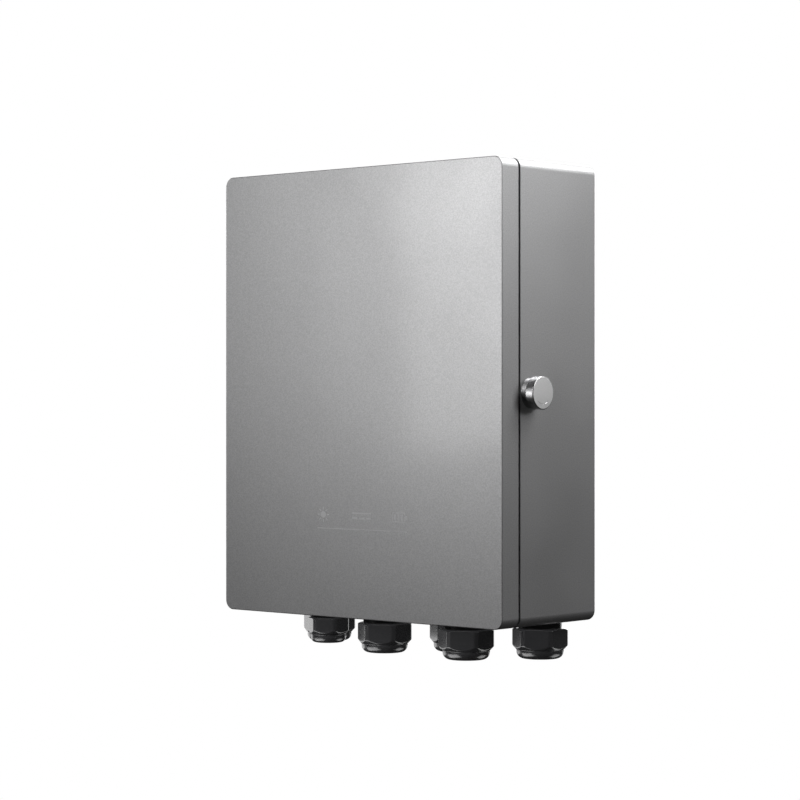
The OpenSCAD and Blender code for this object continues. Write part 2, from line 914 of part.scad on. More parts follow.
body_shell();
mounting_plate();
plate_studs();
plate_nuts();
hinge_body_leaves();
hinge_pins();
hinge_body_screws();
latch_housing();
latch_seal();
latch_locknut();
gland_bodies();
gland_washers();
gland_inserts();
gland_nuts();
gland_locknuts();
din_rails();
rail_screws();
end_clamps();
fuse_bases();
terminal_screws();
busbar_positive();
busbar_negative();
earth_bar();
bar_standoffs();
bar_screws();
isolator_base();
spd_base();
wiring_duct();
duct_cover();
positive_wires();
negative_wires();
earth_wires();
door_shell();
door_gasket();
door_stiffeners();
hinge_door_leaves();
hinge_door_screws();
keeper();
keeper_screws();
document_pocket();
latch_knob();
latch_cam();
latch_cam_screw();
isolator_handle();
for (i = [1:spd_modules])
    spd_cartridge(i);
for (i = [1:strings])
    fuse_carrier(i);
for (i = [1:strings])
    fuse_link(i);
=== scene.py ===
import json
import math

import bmesh
import bpy
from mathutils import Matrix, Vector


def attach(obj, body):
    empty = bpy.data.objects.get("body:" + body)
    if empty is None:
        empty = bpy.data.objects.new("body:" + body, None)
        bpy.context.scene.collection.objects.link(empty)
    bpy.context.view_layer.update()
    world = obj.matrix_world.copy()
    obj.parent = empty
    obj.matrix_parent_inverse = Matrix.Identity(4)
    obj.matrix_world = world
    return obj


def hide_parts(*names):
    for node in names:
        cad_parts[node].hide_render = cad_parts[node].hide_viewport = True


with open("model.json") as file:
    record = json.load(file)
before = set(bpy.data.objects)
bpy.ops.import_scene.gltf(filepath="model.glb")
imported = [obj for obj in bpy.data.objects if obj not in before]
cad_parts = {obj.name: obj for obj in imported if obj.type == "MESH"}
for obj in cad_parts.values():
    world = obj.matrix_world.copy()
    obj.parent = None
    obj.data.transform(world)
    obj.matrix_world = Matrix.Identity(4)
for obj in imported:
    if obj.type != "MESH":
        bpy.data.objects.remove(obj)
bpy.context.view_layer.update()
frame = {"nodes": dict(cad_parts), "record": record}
MM = 0.001
NODES = frame["nodes"]
SLOT_OF = {p["node"]: p["material_slot"] for p in frame["record"]["subparts"]}
BODY_OF = {n: b for b, names in frame["record"]["behaviour"]["bodies"].items() for n in names}

# Sizes in millimetres, the same as the CAD model's
HALF_W, HALF_H, DEPTH, CORNER = 185.5, 225, 147, 10
DOOR_REAR, DOOR_T = -122, 1.5
BODY_FRONT, BODY_T, LIP_FRONT = -119.3, 2, -137
FIXINGS = [(x, z) for x in (-165, 165) for z in (-200, 200)]
LATCH_Y, NECK_R, KNOB_R, KNOB_X, KNOB_T = -103.6, 14.85, 16, 191.8, 9
HINGE_Y, HINGE_SCREW_REACH = -120.65, 16
SCREW_ROWS = [side * 150 + d * 18 for side in (-1, 1) for d in (-1, 1)]
GLANDS = [(-95, -87, 0), (-16.6, -87, 1), (91.4, -87, 1),
          (-145.9, -30.5, 1), (31.5, -30.5, 1), (139.7, -30.5, 1)]
PLATE_FRONT, BAR_FRONT, WIRE_Y = -16, -52, -50.5
RAIL_Z, EARTH_Z, DUCT_Z = (115, -45), -150, 35
MODULE = 18
FUSE_X, SPD_X, ISOLATOR_X = -130, -93, 27
# Thread, collar, nut across flats, dome and cable radius, then drops below the box
GLAND_SIZE = [
    dict(thread=16, collar=17, flats=38.6, dome=18.4, cable=10, top=6.6, mid=24.6, end=33),
    dict(thread=20, collar=21.75, flats=50, dome=23.4, cable=14, top=7.8, mid=29.1, end=38.1),
]


# ---- mesh building ----

def mesh_piece(name, bm, nodes, slot=None, sharp=32, body=None, finish=None):
    """Turns a mesh in millimetres into a piece that stands for the given CAD nodes."""
    bmesh.ops.remove_doubles(bm, verts=bm.verts, dist=0.0005)
    bmesh.ops.recalc_face_normals(bm, faces=bm.faces)
    bmesh.ops.scale(bm, vec=(MM, MM, MM), verts=bm.verts)
    mesh = bpy.data.meshes.new(name)
    bm.to_mesh(mesh)
    bm.free()
    mesh.shade_smooth()
    mesh.set_sharp_from_angle(angle=math.radians(sharp))
    obj = bpy.data.objects.new(name, mesh)
    bpy.context.scene.collection.objects.link(obj)
    slot = slot or SLOT_OF[nodes[0]]
    for mat in finish or [finish_of(slot)]:
        mesh.materials.append(mat)
    normals = obj.modifiers.new("normals", "WEIGHTED_NORMAL")
    normals.keep_sharp = True
    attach(obj, body or BODY_OF[nodes[0]])
    if nodes:
        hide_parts(*nodes)
    return obj


def loft(bm, rings, cap_start=True, cap_end=True, closed=False, material=0):
    """Joins rings of as many points each into a skin, capped at both ends or closed on itself."""
    loops = [[bm.verts.new(p) for p in ring] for ring in rings]
    pairs = list(zip(loops, loops[1:]))
    if closed:
        pairs.append((loops[-1], loops[0]))
    for a, b in pairs:
        n = len(a)
        for i in range(n):
            face = bm.faces.new((a[i], a[(i + 1) % n], b[(i + 1) % n], b[i]))
            face.material_index = material
    if cap_start and not closed:
        bm.faces.new(loops[0]).material_index = material
    if cap_end and not closed:
        bm.faces.new(loops[-1]).material_index = material


def arc(centre, radius, start, end, steps):
    """Points of an arc in the plane, angles in degrees."""
    points = []
    for i in range(steps + 1):
        a = math.radians(start + (end - start) * i / steps)
        points.append((centre[0] + radius * math.cos(a), centre[1] + radius * math.sin(a)))
    return points


def rounded_ring(inset, y, radius, steps=10):
    """The box outline seen from the front, drawn in by an inset, at a depth."""
    radius = max(radius, 0.3)
    w, h = HALF_W - inset, HALF_H - inset
    ring = []
    for k, (sx, sz) in enumerate(((1, 1), (-1, 1), (-1, -1), (1, -1))):
        centre = (sx * (w - radius), sz * (h - radius))
        for x, z in arc(centre, radius, 90 * k, 90 * k + 90, steps):
            ring.append((x, y, z))
    return ring


def frame_axes(direction):
    """Two directions square to the given one."""
    d = Vector(direction).normalized()
    side = Vector((0, 0, 1)) if abs(d.z) < 0.9 else Vector((1, 0, 0))
    u = d.cross(side).normalized()
    return d, u, d.cross(u)


def lathe(bm, profile, origin, direction, segments=64, caps=(True, True), closed=False, material=0):
    """Turns (radius, height) points about an axis through origin."""
    d, u, v = frame_axes(direction)
    origin = Vector(origin)
    rings = []
    for radius, height in profile:
        ring = []
        for i in range(segments):
            a = 2 * math.pi * i / segments
            ring.append(origin + d * height + (u * math.cos(a) + v * math.sin(a)) * radius)
        rings.append(ring)
    loft(bm, rings, caps[0], caps[1], closed, material)


def block(bm, lo, hi, bevel=0.4, steps=2):
    """A box with rounded edges."""
    part = bmesh.new()
    size = [b - a for a, b in zip(lo, hi)]
    bmesh.ops.create_cube(part, size=1)
    bmesh.ops.scale(part, vec=size, verts=part.verts)
    bmesh.ops.translate(part, vec=[(a + b) / 2 for a, b in zip(lo, hi)], verts=part.verts)
    if bevel:
        bmesh.ops.bevel(part, geom=part.edges[:], offset=min(bevel, min(size) * 0.4),
                        segments=steps, profile=0.5, affect="EDGES")
    take(bm, part)


def take(bm, part, matrix=None):
    """Moves all of one mesh into another."""
    if matrix is not None:
        bmesh.ops.transform(part, matrix=matrix, verts=part.verts)
    spare = bpy.data.meshes.new("spare")
    part.to_mesh(spare)
    part.free()
    bm.from_mesh(spare)
    bpy.data.meshes.remove(spare)


def cut(bm, cutter):
    """Cuts one mesh from another and gives back the result."""
    pair = []
    for name, part in (("keep", bm), ("cutter", cutter)):
        bmesh.ops.recalc_face_normals(part, faces=part.faces)
        mesh = bpy.data.meshes.new(name)
        part.to_mesh(mesh)
        part.free()
        obj = bpy.data.objects.new(name, mesh)
        bpy.context.scene.collection.objects.link(obj)
        pair.append(obj)
    keep, tool = pair
    boolean = keep.modifiers.new("cut", "BOOLEAN")
    boolean.operation, boolean.object, boolean.solver = "DIFFERENCE", tool, "EXACT"
    boolean.use_self = True
    graph = bpy.context.evaluated_depsgraph_get()
    made = bpy.data.meshes.new_from_object(keep.evaluated_get(graph))
    result = bmesh.new()
    result.from_mesh(made)
    for obj in pair:
        mesh = obj.data
        bpy.data.objects.remove(obj)
        bpy.data.meshes.remove(mesh)
    bpy.data.meshes.remove(made)
    return result


def rounded_path(points, bend, steps=6):
    """Replaces each corner of a route by an arc of about the given radius."""
    points = [Vector(p) for p in points]
    path = [points[0]]
    for before, corner, after in zip(points, points[1:], points[2:]):
        back, on = (before - corner), (after - corner)
        reach = min(bend, back.length * 0.45, on.length * 0.45)
        a, b = corner + back.normalized() * reach, corner + on.normalized() * reach
        for i in range(steps + 1):
            t = i / steps
            path.append(a * (1 - t) ** 2 + corner * 2 * t * (1 - t) + b * t ** 2)
    path.append(points[-1])
    return path


def tube(bm, path, radius, segments=16):
    """Sweeps a circle along a path without twisting it."""
    d, u, v = frame_axes(path[1] - path[0])
    rings = []
    for i, point in enumerate(path):
        before = path[max(i - 1, 0)]
        after = path[min(i + 1, len(path) - 1)]
        new_d = (after - before).normalized()
        turn = d.rotation_difference(new_d)
        u, v, d = turn @ u, turn @ v, new_d
        rings.append([point + (u * math.cos(2 * math.pi * k / segments)
                               + v * math.sin(2 * math.pi * k / segments)) * radius
                      for k in range(segments)])
    loft(bm, rings)


# ---- camera, light and surroundings ----

def make_camera():
    eye = Vector((1.6564, -1.9658, -0.0068))
    yaw = math.radians(41.33)
    cam = bpy.data.objects.new("camera", bpy.data.cameras.new("camera"))
    cam.data.sensor_width = 36
    cam.data.lens = 111.2
    cam.data.clip_start, cam.data.clip_end = 0.05, 50
    cam.location = eye
    cam.rotation_euler = (math.radians(90), 0, yaw)
    bpy.context.scene.collection.objects.link(cam)
    bpy.context.scene.camera = cam


def area_light(name, place, aim, size, power):
    lamp = bpy.data.lights.new(name, "AREA")
    lamp.shape = "RECTANGLE"
    lamp.size, lamp.size_y = size
    lamp.energy = power
    obj = bpy.data.objects.new(name, lamp)
    obj.location = place
    obj.rotation_euler = (Vector(aim) - Vector(place)).to_track_quat("-Z", "Y").to_euler()
    obj.visible_camera = False
    bpy.context.scene.collection.objects.link(obj)
    return obj


AT_BOX = (0, -0.07, 0)
# Softboxes: name, place, size, power in watts. The tall, high and far ones stand
# roughly where a face mirrors the camera, raised so that the light falls off down the face;
# front_near is a fill from straight ahead.
SOFTBOXES = [
    ("front_tall", (-0.9, -1.6, 0.4), (0.5, 1.0), 6.7),
    ("front_near", (0, -1.0, 0.3), (0.5, 0.5), 1.5),
    ("side_high", (0.6, 0.4, 1.05), (0.5, 0.8), 15),
    ("side_far", (1.5, 0.6, 0.7), (0.8, 0.8), 9),
]

KNOB, NECK, NUTS = "knob_turned", "latch_neck", "gland_nuts_moulded"
AT_LATCH, AT_GLANDS = (0.2, -0.1, 0), (0, -0.05, -0.25)
# Softboxes for one small piece each: piece, place, aim, size, power in watts, whether
# anything casts a shadow from it
DETAIL_LIGHTS = [
    (KNOB, (-1.05, -1.67, 0.0), AT_LATCH, (0.5, 1.1), 22, False),
    (KNOB, (0.31, 0.03, 0.13), AT_LATCH, (0.06, 0.06), 0.06, False),
    (NECK, (-1.05, -1.3, 0.9), AT_LATCH, (0.6, 1.2), 24, False),
    (NUTS, (-1.4, 0.15, -0.35), AT_GLANDS, (1.0, 0.8), 4, False),
    (NUTS, (-0.6, -1.0, -1.1), AT_GLANDS, (1.6, 1.0), 15, True),
    (NUTS, (0.8, 0.85, -1.2), AT_GLANDS, (1.0, 0.8), 5, True),
    (NUTS, (0.18, -0.75, 0.6), AT_GLANDS, (0.6, 0.8), 9, False),
]
# Pieces that the inside light leaves alone
OUTSIDE = {"door_skin", "gasket_bead", "door_mark", KNOB, NECK, NUTS,
           "gland_barrels", "gland_rubbers", "floor"}

# White wall in the reflections: the way to it, the cosines between which it fades in, and
# its brightness outside and inside
WALL_TOWARD, WALL_EDGE, WALL_GLOW = (-0.362, 0.879, 0.31), (0.8, 0.88), (0.02, 1.25)
FLOOR_Z, FLOOR_R = -1.25, 4.5


def make_lights():
    for name, place, size, power in SOFTBOXES:
        area_light(name, place, AT_BOX, size, power)
    area_light("rear_left", (-0.75, 1.9, 0.4), (0, 0, 0), (1.7, 1.0), 14)
    area_light("left_wall", (-1.8, 0.5, 0.6), (0, 0, 0), (0.8, 0.8), 9)


def light_only(lamp, pieces):
    lit = bpy.data.collections.new("lit_" + lamp.name)
    for piece in pieces:
        lit.objects.link(piece)
    lamp.light_linking.receiver_collection = lit


def make_detail_lights():
    """Lights that reach only the piece they name."""
    aside = bpy.data.collections.new("aside")
    aside.objects.link(bpy.data.objects["plate_nuts_cut"])
    for number, (piece, place, aim, size, power, shadows) in enumerate(DETAIL_LIGHTS):
        lamp = area_light(f"detail_{number}", place, aim, size, power)
        light_only(lamp, [bpy.data.objects[piece]])
        if not shadows:
            lamp.light_linking.blocker_collection = aside
    for piece in (KNOB, NECK):
        bpy.data.objects[piece].visible_glossy = False


def make_inside_light():
    """A light from straight ahead, mostly for what the door hides."""
    lamp = area_light("inside", (-0.05, -1.7, 0.25), (0, 0, 0), (0.25, 0.6), 14)
    light_only(lamp, [o for o in bpy.context.scene.objects
                      if o.type == "MESH" and o.name not in OUTSIDE])


def make_floor_light():
    """A wide sun that reaches only the floor and keeps it pale."""
    lamp = bpy.data.lights.new("overhead", "SUN")
    lamp.energy = 2.9
    lamp.angle = math.radians(50)
    obj = bpy.data.objects.new("overhead", lamp)
    bpy.context.scene.collection.objects.link(obj)
    light_only(obj, [bpy.data.objects["floor"]])


def make_world():
    """White to the camera; in reflections dark, but for a white wall behind, above and left."""
    world = bpy.data.worlds.new("studio")
    bpy.context.scene.world = world
    world.use_nodes = True
    nodes, links = world.node_tree.nodes, world.node_tree.links
    nodes.clear()
    seen = nodes.new("ShaderNodeBackground")
    seen.inputs["Color"].default_value = (1, 1, 1, 1)
    lit = nodes.new("ShaderNodeBackground")
    coord = nodes.new("ShaderNodeTexCoord")
    toward = nodes.new("ShaderNodeVectorMath")
    toward.operation = "DOT_PRODUCT"
    toward.inputs[1].default_value = WALL_TOWARD
    wall = nodes.new("ShaderNodeMapRange")
    wall.inputs["From Min"].default_value = WALL_EDGE[0]
    wall.inputs["From Max"].default_value = WALL_EDGE[1]
    wall.inputs["To Min"].default_value = WALL_GLOW[0]
    wall.inputs["To Max"].default_value = WALL_GLOW[1]
    links.new(coord.outputs["Generated"], toward.inputs[0])
    links.new(toward.outputs["Value"], wall.inputs[0])
    links.new(wall.outputs[0], lit.inputs["Color"])
    ray = nodes.new("ShaderNodeLightPath")
    mix = nodes.new("ShaderNodeMixShader")
    out = nodes.new("ShaderNodeOutputWorld")
    links.new(ray.outputs["Is Camera Ray"], mix.inputs[0])
    links.new(lit.outputs[0], mix.inputs[1])
    links.new(seen.outputs[0], mix.inputs[2])
    links.new(mix.outputs[0], out.inputs[0])


def make_floor():
    mesh = bpy.data.meshes.new("floor")
    bm = bmesh.new()
    bmesh.ops.create_circle(bm, cap_ends=True, segments=96, radius=FLOOR_R)
    bm.to_mesh(mesh)
    bm.free()
    floor = bpy.data.objects.new("floor", mesh)
    floor.location = (0, 0, FLOOR_Z)
    floor.visible_glossy = False
    floor.visible_diffuse = False
    bpy.context.scene.collection.objects.link(floor)
    mesh.materials.append(surface("floor_paint", (0.86, 0.86, 0.86), 0.7))


# ---- materials ----

def shader(name):
    mat = bpy.data.materials.new(name)
    mat.use_nodes = True
    nodes = mat.node_tree.nodes
    nodes.clear()
    out = nodes.new("ShaderNodeOutputMaterial")
    bsdf = nodes.new("ShaderNodeBsdfPrincipled")
    mat.node_tree.links.new(bsdf.outputs[0], out.inputs[0])
    return mat, bsdf


def place_noise(mat, scale, detail=3, stretch=(1, 1, 1)):
    """Noise over the piece's own coordinates, scale in cells a metre."""
    nodes, links = mat.node_tree.nodes, mat.node_tree.links
    coord = nodes.new("ShaderNodeTexCoord")
    mapping = nodes.new("ShaderNodeMapping")
    mapping.inputs["Scale"].default_value = stretch
    noise = nodes.new("ShaderNodeTexNoise")
    noise.inputs["Scale"].default_value = scale
    noise.inputs["Detail"].default_value = detail
    links.new(coord.outputs["Object"], mapping.inputs[0])
    links.new(mapping.outputs[0], noise.inputs["Vector"])
    return noise.outputs["Fac"]


def ramp(mat, source, low, high, start=0.3, end=0.7):
    """Spreads a 0 to 1 value between two colours."""
    node = mat.node_tree.nodes.new("ShaderNodeValToRGB")
    node.color_ramp.elements[0].position = start
    node.color_ramp.elements[1].position = end
    node.color_ramp.elements[0].color = (*low, 1)
    node.color_ramp.elements[1].color = (*high, 1)
    mat.node_tree.links.new(source, node.inputs[0])
    return node.outputs[0]


def spread(mat, source, low, high):
    """Spreads a 0 to 1 value between two numbers."""
    node = mat.node_tree.nodes.new("ShaderNodeMapRange")
    node.inputs["From Min"].default_value = 0.3
    node.inputs["From Max"].default_value = 0.7
    node.inputs["To Min"].default_value = low
    node.inputs["To Max"].default_value = high
    mat.node_tree.links.new(source, node.inputs[0])
    return node.outputs[0]


def bump(mat, bsdf, source, height, strength=1.0):
    node = mat.node_tree.nodes.new("ShaderNodeBump")
    node.inputs["Strength"].default_value = strength
    node.inputs["Distance"].default_value = height
    mat.node_tree.links.new(source, node.inputs["Height"])
    mat.node_tree.links.new(node.outputs[0], bsdf.inputs["Normal"])


def surface(name, colour, rough, metallic=0.0, grain=400, vary=0.06, rough_vary=0.05,
            relief=0.00002, stretch=(1, 1, 1), gloss=0.5):
    """A finish whose colour, gloss and relief vary a little with a grain of the given scale."""
    mat, bsdf = shader(name)
    bsdf.inputs["Metallic"].default_value = metallic
    bsdf.inputs["Specular IOR Level"].default_value = gloss
    fine = place_noise(mat, grain, 3, stretch)
    broad = place_noise(mat, 14, 2)
    low = [c * (1 - vary) for c in colour]
    high = [min(1, c * (1 + vary)) for c in colour]
    links = mat.node_tree.links
    links.new(ramp(mat, fine, low, high), bsdf.inputs["Base Color"])
    links.new(spread(mat, broad, rough - rough_vary, rough + rough_vary), bsdf.inputs["Roughness"])
    bump(mat, bsdf, fine, relief)
    return mat


def case_paint():
    """Satin metallic paint: fine bright flakes in a grey coat."""
    mat, bsdf = shader("case_paint")
    links = mat.node_tree.links
    bsdf.inputs["Metallic"].default_value = 0.85
    bsdf.inputs["Coat Weight"].default_value = 0.5
    bsdf.inputs["Coat Roughness"].default_value = 0.12
    flakes = place_noise(mat, 900, 4)
    links.new(ramp(mat, flakes, (0.44, 0.44, 0.445), (0.56, 0.56, 0.565), 0.35, 0.65),
              bsdf.inputs["Base Color"])
    broad = place_noise(mat, 9, 2)
    links.new(spread(mat, broad, 0.43, 0.47), bsdf.inputs["Roughness"])
    bump(mat, bsdf, flakes, 0.00003, 0.35)
    return mat


# ---- painted sheet metal ----

def corner_at(inset):
    """Corner radius of the outline: the box's own near the edge, the opening's further in."""
    return CORNER - inset if inset < 8 else 23.5 - inset


def sheet_rings(path):
    return [rounded_ring(inset, y, corner_at(inset)) for inset, y in path]


def make_door_skin():
    front, inner = -DEPTH, -DEPTH + DOOR_T
    path = arc((0.9, front + 0.9), 0.9, 270, 180, 5)
    path += arc((0.35, DOOR_REAR - 0.35), 0.35, 180, 90, 3)
    path += arc((DOOR_T - 0.35, DOOR_REAR - 0.35), 0.35, 90, 0, 3)
    path += arc((DOOR_T + 1, inner + 1), 1, 180, 270, 4)
    bm = bmesh.new()
    loft(bm, sheet_rings(path))
    mesh_piece("door_skin", bm, ["door_shell"])


def make_body_skin():
    inner_flange = BODY_FRONT + BODY_T
    path = arc((2, -2), 2, 90, 180, 6)
    path += arc((0.5, BODY_FRONT + 0.5), 0.5, 180, 270, 4)
    path += arc((15.4, BODY_FRONT - 0.6), 0.6, 90, 0, 3)
    path += arc((16.5, LIP_FRONT + 0.5), 0.5, 180, 270, 3)
    path += arc((17, LIP_FRONT + 0.5), 0.5, 270, 360, 3)
    path += arc((17, inner_flange - 0.5), 0.5, 0, 90, 3)
    path += arc((2.8, inner_flange + 0.8), 0.8, 270, 180, 3)
    path += arc((3, -3), 1, 180, 90, 4)
    bm = bmesh.new()
    loft(bm, sheet_rings(path))
    holes = bmesh.new()
    for x, z in FIXINGS:
        lathe(holes, [(4.5, -2), (4.5, 6)], (x, -4, z), (0, 1, 0), 40)
    for x, y, size in GLANDS:
        hole_r = GLAND_SIZE[size]["thread"] + 0.25
        lathe(holes, [(hole_r, -3), (hole_r, 5)], (x, y, -HALF_H), (0, 0, 1), 48)
    lathe(holes, [(9.2, -5), (9.2, 5)], (HALF_W, LATCH_Y, 0), (1, 0, 0), 48)
    for z in SCREW_ROWS:
        lathe(holes, [(2.2, -5), (2.2, 5)], (-HALF_W, HINGE_Y + HINGE_SCREW_REACH, z), (1, 0, 0), 24)
    mesh_piece("body_skin", cut(bm, holes), ["body_shell"])


def make_gasket():
    inner = -DEPTH + DOOR_T
    path = [(9.75, inner), (9.75, inner + 3.2)] + arc((12.75, -140.3), 3, 180, 90, 5)
    path += [(16.2, -137.3), (16.5, -137.55), (17, -137.55), (17.3, -137.3)]
    path += arc((20.75, -140.3), 3, 90, 0, 5) + [(23.75, inner + 3.2), (23.75, inner)]
    bm = bmesh.new()
    loft(bm, sheet_rings(path), closed=True)
    mesh_piece("gasket_bead", bm, ["door_gasket"])


# ---- generic mark on the door: sun, direct current and battery signs over a thin line ----

def flat_shape(bm, outline):
    """A thin printed shape on the door's face; the outline is in X and Z."""
    y = -DEPTH
    loft(bm, [[(x, y + 0.02, z) for x, z in outline], [(x, y - 0.05, z) for x, z in outline]])


def flat_bar(bm, x0, x1, z0, z1):
    flat_shape(bm, [(x0, z0), (x1, z0), (x1, z1), (x0, z1)])


def make_mark():
    bm = bmesh.new()
    mid_z = -122
    sun_x, dc_x, cell_x = -46, 6, 56
    flat_shape(bm, [(sun_x + x, mid_z + z) for x, z in arc((0, 0), 3.4, 0, 345, 23)])
    for k in range(8):
        a = math.radians(45 * k)
        along, across = Vector((math.cos(a), math.sin(a))), Vector((-math.sin(a), math.cos(a)))
        ends = [along * 4.9 - across * 0.5, along * 7.8 - across * 0.5,
                along * 7.8 + across * 0.5, along * 4.9 + across * 0.5]
        flat_shape(bm, [(sun_x + p.x, mid_z + p.y) for p in ends])
    flat_bar(bm, dc_x - 13, dc_x + 13, mid_z + 1.6, mid_z + 3.4)
    for x in (-13, -3.5, 6):
        flat_bar(bm, dc_x + x, dc_x + x + 7, mid_z - 3.4, mid_z - 1.6)
    for z in (-5, 4):
        flat_bar(bm, cell_x - 9, cell_x + 8, mid_z + z, mid_z + z + 1)
    for x in (-9, 7):
        flat_bar(bm, cell_x + x, cell_x + x + 1, mid_z - 4, mid_z + 4)
    flat_bar(bm, cell_x + 8, cell_x + 10, mid_z - 2, mid_z + 2)
    for x in (-7, -2.5, 2):
        flat_bar(bm, cell_x + x, cell_x + x + 3, mid_z - 3, mid_z + 3)
    flat_bar(bm, -54, 66, -136.2, -135.4)
    mesh_piece("door_mark", bm, [], slot="grey_case", body="door", finish=[mark_ink()])


# ---- latch ----

def make_knob():
    """Turned knob on its shaft, with a shallow curved groove low on the face."""
    steps = 180
    edge_r = KNOB_R - 0.7
    side = [(4.6, -28.8), (5, -28.4), (5, 0), (edge_r, 0)]
    side += [(KNOB_R - 0.25, 0.15), (KNOB_R - 0.05, 0.4), (KNOB_R, 0.7), (KNOB_R, KNOB_T - 0.9)]
    side += [(KNOB_R - 0.07, KNOB_T - 0.5), (KNOB_R - 0.3, KNOB_T - 0.2), (edge_r, KNOB_T)]
    face = [(edge_r, 0), (14.9, 0), (11.2, 0), (11.06, 0), (11, -0.35), (10.6, -0.35), (10.54, 0),
            (10.4, 0), (7, 0), (3, 0), (0.4, 0)]
    bm = bmesh.new()
    centre = Vector((KNOB_X, LATCH_Y, 0))
    lathe(bm, side, centre, (1, 0, 0), steps, caps=(True, False))
    rings = []
    for radius, depth in face:
        ring = []
        for i in range(steps):
            a = 2 * math.pi * i / steps
            grooved = abs(math.degrees(a) - 90) < 43
            x = KNOB_T + (depth if grooved else 0)
            ring.append(centre + Vector((x, -math.cos(a) * radius, -math.sin(a) * radius)))
        rings.append(ring)
    loft(bm, rings, cap_start=False, material=1)
    block(bm, (160, LATCH_Y - 3, -3), (164, LATCH_Y + 3, 3), 0.3)
    mesh_piece("knob_turned", bm, ["latch_knob"], sharp=28, finish=[finish_of("polished"),
                                                                    finish_of("turned_face")])


def thread(radius, depth, start, end, pitch=1.5):
    """Ridges of a screw thread as turned rings, from start to end along the axis."""
    points = []
    count = int(abs(end - start) / pitch)
    step = (end - start) / max(count, 1)
    for i in range(count):
        h = start + i * step
        points += [(radius - depth, h), (radius - depth, h + step * 0.15),
                   (radius, h + step * 0.45), (radius, h + step * 0.7)]
    return points + [(radius - depth, end)]


def make_neck():
    profile = [(5.05, -13.5), (8, -13.5)] + thread(9, 0.7, -13, -2, 1.25)
    profile += [(9, -1.9), (9, 0), (10.5, 0), (10.5, 1), (12.5, 1), (12.5, 0), (NECK_R, 0)]
    profile += [(NECK_R, 5.3), (NECK_R - 0.15, 5.7), (NECK_R - 0.6, 6), (5.05, 6)]
    bm = bmesh.new()
    lathe(bm, profile, (HALF_W, LATCH_Y, 0), (1, 0, 0), 128, closed=True)
    mesh_piece("latch_neck", bm, ["latch_housing"], finish=[finish_of("polished")])


# ---- cable glands ----

HALF_SECTOR = (0, 1.4, 2.6, 3.4, 4, 4.5, 5, 5.6, 6.3, 7.1, 7.3, 8.4, 10, 13, 18, 24)
SECTOR = [-p for p in reversed(HALF_SECTOR[1:])] + list(HALF_SECTOR) + [30]


def soft_min(a, b, blend):
    h = max(blend - abs(a - b), 0) / blend
    return min(a, b) - h * h * blend / 4


def hex_ring(centre, z, flats, limits, blend=0.5, turn=90):
    """A hexagon at a height, its corners trimmed to the given radii with soft edges."""
    ring = []
    for k in range(6):
        for phi in SECTOR:
            r = flats / 2 / math.cos(math.radians(30 - abs(phi)))
            for limit in limits:
                r = soft_min(r, limit, blend)
            a = math.radians(turn + 60 * k + phi)
            ring.append((centre[0] + r * math.cos(a), centre[1] + r * math.sin(a), z))
    return ring


def round_ring(centre, z, radius, turn=90, notch=0):
    """A circle with as many points, drawn in under each corner of the hexagon if notched."""
    ring = []
    for k in range(6):
        for phi in SECTOR:
            r = radius - (notch if abs(phi) < 7.2 else 0)
            a = math.radians(turn + 60 * k + phi)
            ring.append((centre[0] + r * math.cos(a), centre[1] + r * math.sin(a), z))
    return ring


def gland_nut_rings(centre, s):
    top, mid, end = -HALF_H - s["top"], -HALF_H - s["mid"], -HALF_H - s["end"]
    flats, dome, bore = s["flats"], s["dome"], s["thread"] - 0.2
    corner = flats / 2 * 1.11
    edge = 0.3 * dome
    rings = [round_ring(centre, top - 0.5, bore), round_ring(centre, top, bore + 0.4)]
    rings.append(hex_ring(centre, top, flats - 2.6, [corner, corner - 3.5]))
    for drop, inset in ((0.1, 2), (0.25, 1.5), (0.5, 0.9), (0.8, 0.4), (1.1, 0.1), (1.4, 0),
                        (1.7, 0), (2.0, 0), (2.4, 0), (3, 0)):
        limits = [corner, corner - 2.2 + drop * 1.375 - inset / 2]
        rings.append(hex_ring(centre, top - drop, flats - inset, limits))
    for rise in (6, 5.2, 4.7, 4.3, 3.9, 3.5, 3, 2.4, 1.8, 1.2, 0.6, 0.15):
        rings.append(hex_ring(centre, mid + rise, flats, [corner, corner - 4 + rise * 0.952]))
    rings.append(round_ring(centre, mid, dome + 0.1))
    for drop, notch in ((0.25, 0), (0.3, 1.5), (1.85, 1.5), (1.9, 0)):
        rings.append(round_ring(centre, mid - drop, dome, notch=notch))
    for r, z in arc((dome - edge, end + edge), edge, 0, -90, 9):
        rings.append(round_ring(centre, z, r))
    cable = s["cable"]
    inside = [(cable + 1.6, end), (cable + 1.2, end + 0.4), (cable + 1.2, end + 3),
              (cable + 3.8, end + 3), (cable + 3.8, mid + 0.5), (bore, mid + 0.5)]
    return rings + [round_ring(centre, z, r) for r, z in inside]


def make_gland_nuts():
    bm = bmesh.new()
    for x, y, size in GLANDS:
        loft(bm, gland_nut_rings((x, y), GLAND_SIZE[size]), closed=True)
    mesh_piece("gland_nuts_moulded", bm, ["gland_nuts"], sharp=38)


def make_gland_bodies():
    bm = bmesh.new()
    for x, y, size in GLANDS:
        s = GLAND_SIZE[size]
        r, c, top, bore = s["thread"], s["collar"], -s["top"], s["cable"] + 1.5
        profile = [(bore, top - 12), (r - 1, top - 12), (r - 0.5, top - 11.5), (r - 0.5, top)]
        profile += [(c - 0.6, top), (c - 0.15, top + 0.2), (c, top + 0.6), (c, -1.6), (c - 0.2, -1.15),
                    (c - 0.6, -1), (r - 0.6, -1)]
        profile += thread(r, 0.6, 1.5, 13.2) + [(r - 1.2, 14), (bore + 0.4, 14), (bore, 13.6)]
        lathe(bm, profile, (x, y, -HALF_H), (0, 0, 1), 96, closed=True)
    mesh_piece("gland_barrels", bm, ["gland_bodies"])


